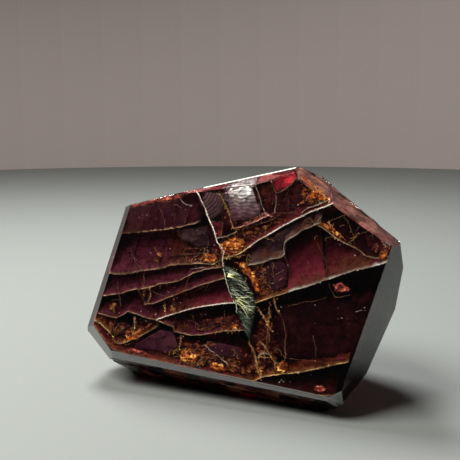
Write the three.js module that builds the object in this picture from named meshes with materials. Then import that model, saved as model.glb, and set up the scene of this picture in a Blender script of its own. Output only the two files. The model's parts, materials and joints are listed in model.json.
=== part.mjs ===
// A single large garnet crystal, tilted on its flattened underside. Its front has been ground to one wide
// polished window with narrow bevels round it, and the rest keeps the blunt facets that it grew with.
// Millimetres, +Z up, the window facing -Y, standing on z = 0 with the origin under its middle.

import * as THREE from "three";
import { ConvexGeometry } from "three/addons/geometries/ConvexGeometry.js";

// Facets are measured from the heart of the crystal, this far above the flat that it rests on.
const HEART_HEIGHT = 26;

// The polished window: how far it is in front of the heart, and how far it leans back.
const WINDOW_DISTANCE = 15.5;
const WINDOW_LEAN = 15;

// The back of the crystal, nearly upright.
const BACK_DISTANCE = 16.9;
const BACK_LEAN = 6;

// Three facets whose directions span less than this never meet in a corner.
const LEAST_SPAN = 1e-6;

// A corner may lie this far outside a facet and still count as on it.
const ROUNDING = 1e-6;

// Each facet is a flat plane. Its azimuth says which way it faces, from 0 (the window's side, -Y)
// through 90 (+X) to 180 (the back), its slope how far it looks up, and its distance how far it is
// from the heart.
const facets = [
  // The window and the bevels that were ground along its edges.
  { name: "window", azimuth: 0, slope: WINDOW_LEAN, distance: WINDOW_DISTANCE },
  { name: "left bevel", azimuth: -41.5, slope: 19.5, distance: 33.2 },
  { name: "lower left bevel", azimuth: -29, slope: -15.5, distance: 36.6 },
  { name: "bottom bevel", azimuth: -2, slope: -15, distance: 25.1 },
  { name: "clipped corner", azimuth: 27.5, slope: -27.5, distance: 35.8 },
  { name: "top sliver", azimuth: -16, slope: 64, distance: 26.2 },

  // The two wide faces beside the window.
  { name: "right face", azimuth: 72.5, slope: -10, distance: 34.1 },
  { name: "upper right face", azimuth: 76, slope: 58.5, distance: 30.2 },

  // The top and the left side.
  { name: "top face", azimuth: -120.5, slope: 72.5, distance: 24.2 },
  { name: "left face", azimuth: -91.5, slope: 14, distance: 36 },

  // The underside, from the front edge and the raised left end down to the flat that it rests on.
  { name: "resting flat", azimuth: 0, slope: -90, distance: HEART_HEIGHT },
  { name: "front underside", azimuth: -4.5, slope: -49, distance: 28.7 },
  { name: "left underside", azimuth: -64.5, slope: -45.5, distance: 40.6 },
  { name: "back underside", azimuth: 172, slope: -48, distance: 23.8 },

  // The grown facets that round the right end towards the back.
  { name: "right shoulder", azimuth: 128, slope: 39, distance: 26.5 },
  { name: "right corner", azimuth: 105.5, slope: 13, distance: 34.5 },
  { name: "right flank", azimuth: 118.5, slope: -5.5, distance: 29.3 },
  { name: "right haunch", azimuth: 119.5, slope: -29.5, distance: 26.9 },
  { name: "right heel", azimuth: 100, slope: -47.5, distance: 31.7 },

  // The grown facets of the back, and the ones that round its left end.
  { name: "back face", azimuth: 176, slope: BACK_LEAN, distance: BACK_DISTANCE },
  { name: "back shoulder", azimuth: 176, slope: 50, distance: 21.5 },
  { name: "left flank", azimuth: -136, slope: 8, distance: 26.3 },
  { name: "left haunch", azimuth: -146, slope: -44, distance: 25.9 },
  { name: "left shoulder", azimuth: -128, slope: 48, distance: 28.5 },

  // Corners knocked off the back before the stone was found.
  { name: "knocked back corner", azimuth: -168, slope: 27, distance: 22.6 },
  { name: "knocked left corner", azimuth: -112, slope: -12, distance: 38.2 },
  { name: "knocked right corner", azimuth: 150, slope: -16, distance: 23.9 },
];

// A facet as a three.js plane, whose normal points out of the crystal.
function planeOf({ azimuth, slope, distance }) {
  const turn = THREE.MathUtils.degToRad(azimuth);
  const rise = THREE.MathUtils.degToRad(slope);
  const outward = new THREE.Vector3(
    Math.sin(turn) * Math.cos(rise),
    -Math.cos(turn) * Math.cos(rise),
    Math.sin(rise),
  );
  return new THREE.Plane(outward, -distance);
}

// The point that lies on three planes at once, or null where two of them run alongside.
function meetingPoint(a, b, c) {
  const bc = new THREE.Vector3().crossVectors(b.normal, c.normal);
  const ca = new THREE.Vector3().crossVectors(c.normal, a.normal);
  const ab = new THREE.Vector3().crossVectors(a.normal, b.normal);
  const span = a.normal.dot(bc);
  if (Math.abs(span) < LEAST_SPAN) return null;
  const sum = bc.multiplyScalar(-a.constant);
  sum.addScaledVector(ca, -b.constant).addScaledVector(ab, -c.constant);
  return sum.divideScalar(span);
}

// The crystal's corners: the points where three facets meet and that no other facet cuts away.
function cornersOf(planes) {
  const corners = [];
  planes.forEach((a, i) => {
    planes.slice(i + 1).forEach((b, j) => {
      planes.slice(i + j + 2).forEach((c) => {
        const point = meetingPoint(a, b, c);
        if (!point) return;
        if (planes.every((plane) => plane.distanceToPoint(point) < ROUNDING)) corners.push(point);
      });
    });
  });
  return corners;
}

// The solid between the corners, stood on its resting flat with the origin under its middle.
function crystalGeometry() {
  const geometry = new ConvexGeometry(cornersOf(facets.map(planeOf)));
  geometry.computeBoundingBox();
  const { min, max } = geometry.boundingBox;
  geometry.translate(-(min.x + max.x) / 2, -(min.y + max.y) / 2, -min.z);
  return geometry;
}

// Deep purple-red garnet, polished to a glassy lustre.
const garnet = new THREE.MeshStandardMaterial({
  color: 0x4b0d1f,
  roughness: 0.08,
  metalness: 0,
  flatShading: true,
});

const crystal = new THREE.Mesh(crystalGeometry(), garnet);
crystal.name = "garnet_crystal";

const group = new THREE.Group();
group.add(crystal);

export default group;
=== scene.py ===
import json
import math
import random

import bpy
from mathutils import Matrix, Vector

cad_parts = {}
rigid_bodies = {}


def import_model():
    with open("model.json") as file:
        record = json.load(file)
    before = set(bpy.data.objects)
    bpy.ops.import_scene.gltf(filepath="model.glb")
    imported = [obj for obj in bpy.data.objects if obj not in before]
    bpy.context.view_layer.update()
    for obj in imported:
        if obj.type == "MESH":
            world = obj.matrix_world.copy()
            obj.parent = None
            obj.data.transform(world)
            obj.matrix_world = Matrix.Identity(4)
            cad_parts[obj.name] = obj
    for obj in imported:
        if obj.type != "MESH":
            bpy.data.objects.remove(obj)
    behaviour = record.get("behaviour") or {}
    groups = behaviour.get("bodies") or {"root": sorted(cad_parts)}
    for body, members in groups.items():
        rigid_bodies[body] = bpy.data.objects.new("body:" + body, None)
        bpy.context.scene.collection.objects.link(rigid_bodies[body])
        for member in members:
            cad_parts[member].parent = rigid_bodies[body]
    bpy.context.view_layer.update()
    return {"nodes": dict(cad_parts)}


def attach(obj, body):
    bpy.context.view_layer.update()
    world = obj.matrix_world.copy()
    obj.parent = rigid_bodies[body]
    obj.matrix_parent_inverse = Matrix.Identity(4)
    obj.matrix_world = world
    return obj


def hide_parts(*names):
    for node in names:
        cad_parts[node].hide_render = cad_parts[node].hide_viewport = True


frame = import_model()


# The studio: a plain pale floor that ends far behind the stone at a plain warm grey backdrop. A wide
# soft light hangs over the stone, and a second one stands high on the left. The camera's own side is
# left dark, so that the polished window doesn't turn milky. None of it belongs to the stone.

MM = 0.001


def start_clean():
    if bpy.context.object and bpy.context.object.mode != "OBJECT":
        bpy.ops.object.mode_set(mode="OBJECT")
    bpy.ops.object.select_all(action="DESELECT")


def new_finish(name):
    finish = bpy.data.materials.new(name)
    finish.use_nodes = True
    return finish, finish.node_tree.nodes["Principled BSDF"]


def plain_finish(name, color, roughness):
    finish, shader = new_finish(name)
    shader.inputs["Base Color"].default_value = (*color, 1)
    shader.inputs["Roughness"].default_value = roughness
    return finish


start_clean()
FLOOR_RADIUS = 0.7
BACKDROP_RISE = 0.9
BACKDROP_FRONT = 0.05
bpy.ops.mesh.primitive_circle_add(vertices=96, radius=FLOOR_RADIUS, fill_type="NGON")
floor = bpy.context.object
floor.name = "floor"
floor.data.materials.append(plain_finish("pale_floor", (0.155, 0.17, 0.165), 0.8))

start_clean()
bpy.ops.mesh.primitive_cylinder_add(vertices=96, radius=FLOOR_RADIUS, depth=BACKDROP_RISE,
                                    end_fill_type="NOTHING", location=(0, 0, BACKDROP_RISE / 2))
backdrop = bpy.context.object
backdrop.name = "backdrop"
bpy.ops.object.mode_set(mode="EDIT")
bpy.ops.mesh.select_all(action="SELECT")
bpy.ops.mesh.bisect(plane_co=(0, BACKDROP_FRONT, 0), plane_no=(0, 1, 0), clear_inner=True)
bpy.ops.object.mode_set(mode="OBJECT")
backdrop.data.materials.append(plain_finish("grey_backdrop", (0.36, 0.31, 0.295), 0.9))

LIT_SPOT = Vector((0, 0, 0.03))


def soft_light(name, place, size, power, color):
    start_clean()
    bpy.ops.object.light_add(type="AREA", location=place)
    light = bpy.context.object
    light.name = name
    light.data.shape = "RECTANGLE"
    light.data.size, light.data.size_y = size
    light.data.energy = power
    light.data.color = color
    light.rotation_euler = (LIT_SPOT - Vector(place)).to_track_quat("-Z", "Y").to_euler()


soft_light("high_light", (-0.17, 0.14, 0.44), (0.16, 0.16), 4.2, (1.0, 0.98, 0.95))
soft_light("left_light", (-0.24, -0.22, 0.50), (0.28, 0.28), 6.4, (1.0, 0.96, 0.90))

world = bpy.data.worlds.new("dim_room")
bpy.context.scene.world = world
world.use_nodes = True
world.node_tree.nodes["Background"].inputs["Color"].default_value = (0.9, 0.93, 1.0, 1)
world.node_tree.nodes["Background"].inputs["Strength"].default_value = 0.02

CAMERA_PLACE = Vector((0.0610, -0.1705, 0.0686))
CAMERA_AIM = Vector((-0.0020, -0.0081, 0.0396))
LENS_LENGTH = 57.1
start_clean()
bpy.ops.object.camera_add(location=CAMERA_PLACE)
camera = bpy.context.object
camera.rotation_euler = (CAMERA_AIM - CAMERA_PLACE).to_track_quat("-Z", "Y").to_euler()
camera.data.sensor_width = 36
camera.data.lens = LENS_LENGTH
camera.data.clip_start = 0.01
bpy.context.scene.camera = camera
bpy.context.scene.view_settings.view_transform = "Standard"
LIGHT_BOUNCES = 16
bpy.context.scene.cycles.transmission_bounces = LIGHT_BOUNCES
bpy.context.scene.cycles.max_bounces = LIGHT_BOUNCES
bpy.context.scene.cycles.caustics_reflective = False


# The crystal: one big garnet, see-through and deep purple-red. The window and the bevels round it are
# ground flat and polished, so their edges are crisp. The grown facets behind and below are worn, with
# softened edges and a slightly uneven skin.

CRISP_EDGE = 0.16 * MM
WORN_EDGE = 0.9 * MM
GARNET_IOR = 1.79
DEEP_COLOR = (0.70, 0.05, 0.25, 1)
DEEP_DENSITY = 170


def add_node(finish, kind, values=None, **settings):
    """A new shader node with these settings, and with these values on its unlinked inputs."""
    added = finish.node_tree.nodes.new("ShaderNode" + kind)
    for name, setting in settings.items():
        setattr(added, name, setting)
    for name, value in (values or {}).items():
        added.inputs[name].default_value = value
    return added


def join(finish, source, output, target, entry):
    finish.node_tree.links.new(source.outputs[output], target.inputs[entry])


def garnet_finish(name, frost, roughness):
    """See-through garnet. The volume's colour is what is left of white light in the deep stone."""
    finish, shader = new_finish(name)
    shader.inputs["Base Color"].default_value = (1 - 0.3 * frost, 0.97 - 0.3 * frost, 0.97 - 0.3 * frost, 1)
    shader.inputs["Transmission Weight"].default_value = 1 - frost
    shader.inputs["IOR"].default_value = GARNET_IOR
    shader.inputs["Roughness"].default_value = roughness
    depth = add_node(finish, "VolumeAbsorption", {"Color": DEEP_COLOR, "Density": DEEP_DENSITY})
    join(finish, depth, "Volume", finish.node_tree.nodes["Material Output"], "Volume")
    return finish


node = frame["nodes"]["garnet_crystal"]
crystal = bpy.data.objects.new("garnet_body", node.data.copy())
bpy.context.scene.collection.objects.link(crystal)
start_clean()
bpy.context.view_layer.objects.active = crystal
crystal.select_set(True)
bpy.ops.object.mode_set(mode="EDIT")
bpy.ops.mesh.select_all(action="SELECT")
bpy.ops.mesh.remove_doubles(threshold=0.01 * MM)
bpy.ops.mesh.dissolve_limited(angle_limit=math.radians(0.5))
bpy.ops.object.mode_set(mode="OBJECT")
facets = [(face.normal.copy(), face.center.copy()) for face in crystal.data.polygons]

WINDOW_LEAN = math.radians(15)
outward = Vector((0, -math.cos(WINDOW_LEAN), math.sin(WINDOW_LEAN)))
up_window = Vector((0, math.sin(WINDOW_LEAN), math.cos(WINDOW_LEAN)))
window_reach = max(outward.dot(vertex.co) for vertex in crystal.data.vertices)
window_foot = Vector((0, -window_reach / math.cos(WINDOW_LEAN), 0))

crystal.data.materials.clear()
crystal.data.materials.append(garnet_finish("polished_garnet", 0, 0.015))
crystal.data.materials.append(garnet_finish("ground_garnet", 0.21, 0.3))
crystal.data.materials.append(garnet_finish("finely_ground_garnet", 0.035, 0.3))
for face in crystal.data.polygons:
    bearing = math.degrees(math.atan2(face.normal.x, -face.normal.y))
    slope = math.degrees(math.asin(face.normal.z))
    if -50 < bearing < 30 and -30 < slope < 25 and face.normal.dot(outward) < 0.99:
        face.material_index = 1 if slope < 0 else 2
edge_softness = crystal.data.attributes.new("bevel_weight_edge", "FLOAT", "EDGE")
faces_at = {}
for face in crystal.data.polygons:
    for key in face.edge_keys:
        faces_at.setdefault(key, []).append(face.normal.copy())
for edge in crystal.data.edges:
    polished = any(normal.dot(outward) > 0.25 for normal in faces_at[edge.key])
    narrow_top = any(normal.z > 0.85 and normal.dot(outward) > 0.6 for normal in faces_at[edge.key])
    softness = CRISP_EDGE / WORN_EDGE if polished else 1.0
    edge_softness.data[edge.index].value = 0.0 if narrow_top else softness
soften = crystal.modifiers.new("soften", "BEVEL")
soften.limit_method = "WEIGHT"
soften.width = WORN_EDGE
soften.segments = 3
bpy.ops.object.modifier_apply(modifier="soften")

bpy.ops.object.mode_set(mode="EDIT")
bpy.ops.mesh.select_all(action="DESELECT")
bpy.ops.object.mode_set(mode="OBJECT")
for face in crystal.data.polygons:
    face.select = face.normal.dot(outward) < 0.1 and face.normal.x < 0.9 or face.normal.z < -0.6
bpy.ops.object.mode_set(mode="EDIT")
bpy.ops.mesh.select_mode(type="FACE")
bpy.ops.mesh.quads_convert_to_tris()
bpy.ops.mesh.subdivide(number_cuts=9)
bpy.ops.mesh.faces_shade_smooth()
bpy.ops.mesh.select_mode(type="VERT")
bpy.ops.object.mode_set(mode="OBJECT")
skin = crystal.vertex_groups.new(name="grown_skin")
grown, polished = set(), set()
for face in crystal.data.polygons:
    (grown if face.use_smooth else polished).update(face.vertices)
FOOT_HEIGHT = 0.5 * MM
uneven_part = [number for number in sorted(grown - polished)
               if crystal.data.vertices[number].co.z > FOOT_HEIGHT]
skin.add(uneven_part, 1.0, "REPLACE")
growth = bpy.data.textures.new("growth", "CLOUDS")
growth.noise_scale = 2.2 * MM
growth.noise_depth = 3
uneven = crystal.modifiers.new("uneven", "DISPLACE")
uneven.texture = growth
uneven.texture_coords = "LOCAL"
uneven.strength = 0.7 * MM
uneven.mid_level = 0.6
uneven.vertex_group = "grown_skin"
bpy.ops.object.modifier_apply(modifier="uneven")
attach(crystal, "root")
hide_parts("garnet_crystal")


# The healed fractures: thin rough skins inside the stone. Each meets the window in a fine pale line,
# where its open lip catches the light, and from there it leans back and up into the stone. The lips
# stand a little in front of the polished face, because a sheet under it stays dim.


def in_stone(across, up, depth=0.0):
    """The point so many millimetres across the window, up it, and behind it."""
    return window_foot + MM * (Vector((across, 0, 0)) + up * up_window - depth * outward)


FADE_DEPTH = 8 * MM
SHEET_GLOSS = 0.04


def add_ramp(finish, stops):
    """A colour ramp through these stops, each a position and a colour."""
    ramp = add_node(finish, "ValToRGB")
    elements = ramp.color_ramp.elements
    for number, (position, color) in enumerate(stops):
        stop = elements[number] if number < 2 else elements.new(position)
        stop.position = position
        stop.color = (*color, 1)
    return ramp


def vein_finish(name, lip, near, deep, lip_depth=0.16, mottle=0.55, roughness=0.4, grain=600,
                stain=(0.20, 0.07, 0.03)):
    """A fracture skin whose colour changes from the lip at the window to the deep end."""
    finish, shader = new_finish(name)
    place = add_node(finish, "TexCoord")
    height = add_node(finish, "VectorMath", {1: outward}, operation="DOT_PRODUCT")
    join(finish, place, "Object", height, 0)
    behind = add_node(finish, "MapRange", {"From Min": window_reach, "From Max": window_reach - FADE_DEPTH})
    join(finish, height, "Value", behind, "Value")
    patches = add_node(finish, "TexNoise", {"Scale": grain, "Detail": 6, "Roughness": 0.75})
    join(finish, place, "Object", patches, "Vector")
    ragged_lip = add_node(finish, "Math", {1: 0.12}, operation="MULTIPLY_ADD")
    join(finish, patches, "Fac", ragged_lip, 0)
    join(finish, behind, "Result", ragged_lip, 2)
    lip_end = 0.06 + lip_depth * MM / FADE_DEPTH
    ramp = add_ramp(finish, [(lip_end, lip), (lip_end + 0.025, near), (0.65, deep)])
    join(finish, ragged_lip, "Value", ramp, "Fac")
    clouds = add_node(finish, "TexNoise", {"Scale": 110, "Detail": 3})
    join(finish, place, "Object", clouds, "Vector")
    share = add_node(finish, "MapRange", {"From Min": 0.48, "From Max": 0.62, "To Max": 0.8})
    join(finish, clouds, "Fac", share, "Value")
    stained = add_node(finish, "Mix", {"B": (*stain, 1)}, data_type="RGBA")
    join(finish, share, "Result", stained, "Factor")
    join(finish, ramp, "Color", stained, "A")
    spread = add_node(finish, "MapRange", {
        "From Min": 0.35, "From Max": 0.65, "To Min": 1 - mottle, "To Max": 1 + mottle})
    join(finish, patches, "Fac", spread, "Value")
    tint = add_node(finish, "VectorMath", operation="SCALE")
    join(finish, stained, "Result", tint, 0)
    join(finish, spread, "Result", tint, "Scale")
    join(finish, tint, "Vector", shader, "Base Color")
    shader.inputs["Roughness"].default_value = roughness
    shader.inputs["Specular IOR Level"].default_value = SHEET_GLOSS
    return finish


white_vein = vein_finish("white_vein", (0.95, 0.86, 0.74), (0.42, 0.075, 0.09), (0.20, 0.06, 0.09), 0.08)
tan_vein = vein_finish("tan_vein", (0.5, 0.3, 0.18), (0.23, 0.05, 0.07), (0.14, 0.055, 0.1), 0.07, 0.75)
plum_vein = vein_finish("plum_vein", (0.5, 0.28, 0.16), (0.065, 0.012, 0.018), (0.028, 0.007, 0.012),
    0.06, 0.8, stain=(0.07, 0.022, 0.018))
rust_vein = vein_finish("rust_vein", (0.7, 0.45, 0.2), (0.36, 0.13, 0.04), (0.2, 0.055, 0.03), 0.12, 0.95,
    stain=(0.12, 0.03, 0.01))
gold_vein = vein_finish("gold_vein", (0.95, 0.68, 0.28), (0.85, 0.42, 0.08), (0.50, 0.16, 0.03), 0.2, 0.9,
                        stain=(0.6, 0.3, 0.06))
smoke_vein = vein_finish("smoke_vein", (0.55, 0.42, 0.32), (0.22, 0.14, 0.125), (0.13, 0.075, 0.08), 0.12)
soot_vein = vein_finish("soot_vein", (0.34, 0.20, 0.12), (0.06, 0.014, 0.013), (0.045, 0.012, 0.015), 0.1,
                        stain=(0.08, 0.025, 0.01))
wine_vein = vein_finish("wine_vein", (0.3, 0.12, 0.08), (0.3, 0.055, 0.045), (0.2, 0.045, 0.04), 0.05,
    0.85, stain=(0.26, 0.1, 0.04))
plum_right = vein_finish("plum_right", (0.95, 0.86, 0.74), (0.3, 0.055, 0.06), (0.07, 0.022, 0.035), 0.08)
top_plum = vein_finish("top_plum", (0.12, 0.04, 0.045), (0.12, 0.04, 0.045), (0.1, 0.03, 0.035), 0.1, 0.8)
magenta_vein = vein_finish("magenta_vein", (0.95, 0.84, 0.7), (0.42, 0.07, 0.09), (0.13, 0.035, 0.06),
    0.08, 0.4)


def lines(name, traces, depth):
    """A new mesh in edit mode: for each trace, one vertex extruded through all its points."""
    start_clean()
    bpy.ops.mesh.primitive_plane_add(size=MM)
    piece = bpy.context.object
    piece.name = name
    bpy.ops.object.mode_set(mode="EDIT")
    bpy.ops.mesh.select_all(action="SELECT")
    for number, trace in enumerate(traces):
        if number:
            bpy.ops.mesh.select_all(action="DESELECT")
            bpy.ops.mesh.primitive_plane_add(size=MM)
        bpy.ops.mesh.merge(type="CENTER")
        points = [in_stone(*place) if len(place) == 3 else in_stone(*place, depth) for place in trace]
        bpy.ops.transform.translate(value=points[0])
        for last, point in zip(points, points[1:]):
            bpy.ops.mesh.extrude_region_move(TRANSFORM_OT_translate={"value": point - last})
    bpy.ops.mesh.select_all(action="SELECT")
    return piece


LIP_HEIGHT = 0.03 * MM


def trim_to_stone(skin):
    """Cuts away whatever sticks out of the stone's facets by more than the skin."""
    for normal, place in facets:
        bpy.ops.mesh.select_all(action="SELECT")
        bpy.ops.mesh.bisect(plane_co=place + normal * skin, plane_no=normal, clear_outer=True)


def place_inside(piece, finish):
    bpy.ops.object.mode_set(mode="OBJECT")
    bpy.ops.object.shade_smooth()
    piece.data.materials.append(finish)
    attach(piece, "root")


def close_sheet(piece, thickness, finish):
    """Trims an open sheet to the stone and gives it its thickness and its finish."""
    trim_to_stone(LIP_HEIGHT)
    bpy.ops.object.mode_set(mode="OBJECT")
    wall = piece.modifiers.new("wall", "SOLIDIFY")
    wall.thickness = thickness * MM
    wall.offset = 0
    bpy.ops.object.modifier_apply(modifier="wall")
    place_inside(piece, finish)


def fractures(name, finish, climb, reach, traces, drift=0.0, thickness=0.07, rough=0.1, ragged=0.1,
              top=-0.03, seed=1):
    """Sheets from lines on the window back into the stone. They climb, and drift to the right, by so
    much for each millimetre that they go in."""
    piece = lines(name, traces, top)
    bpy.ops.mesh.subdivide(number_cuts=6)
    bpy.ops.mesh.select_all(action="SELECT")
    bpy.ops.transform.vertex_random(offset=ragged * MM, seed=seed)
    steps = max(2, round(reach))
    step = MM * reach / steps * (Vector((drift, 0, 0)) + climb * up_window - outward)
    for turn in range(steps):
        bpy.ops.mesh.extrude_region_move(TRANSFORM_OT_translate={"value": step})
        bpy.ops.transform.vertex_random(offset=rough * MM, seed=seed + turn)
    close_sheet(piece, thickness, finish)


# left side, from the top down
fractures("left_fracture_1", plum_vein, 1.3, 8, [[
    (-30, 39), (-26, 39.3), (-24, 39.6), (-22, 40), (-20, 40.3), (-16.5, 40.8), (-13, 41.7), (-10, 42.5),
    (-8.8, 43.3)]], seed=11, ragged=0.2)
fractures("left_fracture_2", tan_vein, 1.6, 9, [[
    (-33, 28.6), (-30, 28.6), (-28, 28.8), (-26, 29.2), (-23, 30), (-20, 30.6), (-17, 31.2), (-16, 31.8),
    (-13, 32.4), (-8, 33), (-4, 33)]], seed=12, ragged=0.16)
fractures("left_fracture_3", tan_vein, 0.9, 7, [[
    (-33, 23), (-28, 24), (-26, 24.9), (-21, 26), (-18, 27.1), (-13, 28.3), (-9.3, 30.5), (-6, 31.8),
    (-1.5, 32.6)]], seed=13, ragged=0.16)
fractures("left_fracture_4", tan_vein, 0.8, 7, [[(-21.5, 22), (-19, 22.3), (-16.3, 23.6), (-12.6, 25.3),
    (-10.3, 26.4), (-6, 28.3), (-1, 30)]], seed=14)
LONG_LEFT = [(-17.7, 18.5), (-15, 19.7), (-12.4, 20.7), (-9, 22), (-5.5, 23), (-1, 24), (2.4, 24.6)]
fractures("long_fracture_left", white_vein, 0.8, 7, [LONG_LEFT], seed=15, thickness=0.16)
fractures("left_fracture_5", tan_vein, 0.7, 6, [[
    (-34, 18.5), (-29, 17.8), (-27.8, 18.3), (-26.7, 19), (-25.7, 19.8), (-23.2, 19.3), (-20.4, 18.7),
    (-17.8, 18.5), (-15.7, 17.9), (-13, 17.3), (-12.6, 16.2), (-8, 15.8), (-3, 16.8), (-0.3, 17.7),
    (5, 18.5)]], seed=16)
fractures("low_left_fracture", rust_vein, 0.8, 6, [[(-35, 16.6), (-33, 16), (-30, 14), (-28.3, 11.9),
    (-26.9, 11.7), (-25.4, 12.2), (-22.4, 13.7), (-20.3, 14.9), (-17, 17)]], seed=17)
fractures("bottom_fracture", wine_vein, 0.9, 10, [[
    (-35, 15.6), (-29.2, 10.2), (-24, 9.4), (-17, 9), (-9, 8.2), (0, 7.4), (8, 6.9)]], seed=18)

# right of the dark spindle
fractures("long_fracture_stained", rust_vein, 0.9, 10, [[(7.2, 25), (9.9, 26.2), (12.9, 27.4),
    (14.9, 28.2)]], seed=21)
LONG_MIDDLE = [(14.9, 28.2), (15.7, 28.6), (18, 29.4), (20, 30.2), (23.4, 31.7)]
fractures("long_fracture_magenta", magenta_vein, 1.9, 7, [LONG_MIDDLE], drift=-0.5, seed=22, rough=0.05,
          thickness=0.16)
LONG_RIGHT = [(23.4, 31.7), (25.9, 32.8), (29.5, 34.3), (32.3, 35.1), (34.9, 36), (37.5, 37)]
fractures("long_fracture_right", plum_right, 1.7, 8, [LONG_RIGHT], drift=-0.3, seed=23, thickness=0.16)
LOW_RIGHT = [(8.2, 7), (9.7, 8), (11.6, 8.8), (13.5, 9.2), (15, 9.7), (17.6, 10.2), (20, 10.8),
    (22.2, 11.6), (24, 12.2), (26.8, 13.2), (29.8, 14.2)]
fractures("low_right_fracture", rust_vein, 0.7, 4, [LOW_RIGHT], seed=24)
fractures("bottom_right_fracture", soot_vein, 0.7, 7, [[(9, 6.7), (16, 6.3), (22, 5.9), (27.5, 6.6)]],
    seed=25)
fractures("smoky_fracture", smoke_vein, 1.4, 6, [[(4.4, 33.5), (8.4, 34.5), (10, 35.4), (12.2, 35.9),
    (13.2, 36.8), (12.8, 38), (12.9, 39.4), (13.5, 40), (15.6, 41.4), (16.9, 42.6), (18.4, 43.2),
    (19.1, 43.6), (21, 44.6)]], seed=26)
fractures("ridge_fracture", soot_vein, 0.9, 9, [[
    (17.2, 44.8), (18.4, 45.3), (19.6, 44.3), (22.2, 43), (24.4, 41.5), (26.6, 40.3), (29.5, 39.3),
    (32, 37.6), (34, 37.3), (37, 38)]], seed=27)
HUB = [(-4, 33.3), (-1.7, 34.6), (0.9, 35.4), (2.9, 36.6), (4, 37.5)]
fractures("hub_fracture", rust_vein, 0.9, 9, [HUB], seed=28, thickness=0.12)
UPPER = [(4, 37.5), (6.7, 39.7), (9.5, 41.4), (12.3, 43.3), (14.6, 44.7), (16.3, 45.6), (18, 46.6),
    (20, 47.5), (21.8, 48.2), (24, 49.4)]
fractures("upper_fracture", white_vein, 0.9, 4, [UPPER], seed=29, thickness=0.16)
TOP = [(-11.4, 51.3), (-9.7, 49.7), (-8.8, 48.1), (-7.8, 46.7), (-7, 45.1), (-6.2, 43.5), (-5.1, 41.7),
       (-4.6, 40.7), (-3.7, 38.5), (-2.5, 37.3), (-1.7, 36.4), (-2, 34.9), (-1.6, 32.9)]
fractures("top_fracture", white_vein, 0.1, 5, [TOP], seed=30, drift=-0.4, thickness=0.2, ragged=0.14)


# The steep cracks: short fractures that run straight into the stone between the long ones, so that
# only their fine lips show. Those near the foot and the middle are stained gold by iron.

tan_crack = vein_finish("tan_crack", (0.5, 0.26, 0.15), (0.3, 0.1, 0.06), (0.2, 0.05, 0.05), 0.5, 0.95,
    grain=900)
rose_vein = vein_finish("rose_vein", (0.85, 0.4, 0.32), (0.6, 0.14, 0.13), (0.4, 0.07, 0.08), 0.4, 0.7,
    grain=900)
pale_crack = vein_finish("pale_crack", (0.72, 0.6, 0.5), (0.4, 0.16, 0.12), (0.25, 0.06, 0.06), 0.3, 0.6,
    grain=900)

fractures("fine_cracks_left", tan_crack, 0, 1, [
    [(-20.8, 47.5), (-20, 46), (-19.3, 44.8), (-18.7, 43.5), (-18.2, 43), (-18.1, 41.5), (-17.6, 40.5)],
    [(-14.5, 40.8), (-14, 39.8), (-13.5, 38.8), (-12.5, 37.6), (-11.9, 36.5), (-10, 36.5), (-8, 36.8)],
    [(-26.5, 36), (-26.4, 34.5), (-25.5, 32.8), (-24.5, 31.6), (-23.5, 30.8)],
    [(-17, 34.3), (-14, 34.6), (-11, 35), (-7, 35.6)],
    [(-22.6, 29.5), (-22.2, 28), (-22, 27), (-22.4, 25.5)],
    [(-23.5, 25.3), (-22.5, 24), (-21.5, 22.5), (-21, 21.8)],
    [(-29.6, 27), (-29, 24.6), (-28.3, 22.6), (-28, 21)],
    [(-30.6, 22.2), (-28.4, 22.5)],
    [(-8.8, 20.8), (-8, 20), (-8, 19.5)],
    [(-28.5, 45.6), (-25, 46), (-22, 46.3), (-21.5, 47.3), (-18, 47.6), (-16, 48.2)],
    [(-29, 17.8), (-29.4, 15.5), (-28.6, 13.4)],
    [(-6, 43.5), (-3, 43.4), (-2.8, 42.6), (-2.8, 40.2)]], seed=31, thickness=0.06, top=0.15)
fractures("fine_cracks_right", tan_crack, 0, 1, [
    [(20.5, 40.1), (21.2, 38.8), (22, 37.6), (22.8, 36.1), (23.2, 34.4), (23.1, 32.9), (23.5, 31.8)],
    [(12.4, 36.6), (13.1, 36.3), (14, 35), (14.4, 33.6), (14.9, 31.9)],
    [(22.8, 45), (24.3, 45.7), (25.8, 46.4), (27.7, 47.3)],
    [(26.1, 46.2), (27.2, 45.1), (27.9, 43.6), (28.6, 42.1), (29.1, 40.2)],
    [(28.9, 41.7), (29.4, 42.5), (31, 43), (32.4, 43.5)],
    [(12.7, 50), (13, 48.7), (13, 46.7)],
    [(10.4, 33.9), (11.2, 31), (12, 29), (12.2, 28)],
    [(4.4, 36.2), (4.9, 35.2), (6, 34.2), (6.7, 33.7)],
    [(8.8, 45.8), (10, 46.2), (12, 46.4), (14.6, 46.4), (16, 46.2)],
    [(2, 42), (4, 42.4), (5.3, 43.2), (7.3, 43.9), (9.2, 44.5), (11.2, 46)],
    [(1.1, 41), (1.5, 38.9), (1.9, 37.2), (2.7, 36.8)],
    [(15, 25.1), (17, 25.7), (18.5, 26.3), (20.6, 26.6), (23.8, 27.9)],
    [(16.3, 13.3), (22.3, 13.5), (24.3, 13.4)],
    [(21.3, 19), (22.2, 16.5), (22.5, 13.5)],
    [(23.8, 31), (24.6, 29.6), (25.7, 28), (27.2, 28.2), (28.9, 29)]], seed=32, thickness=0.06, top=0.15)
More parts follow.
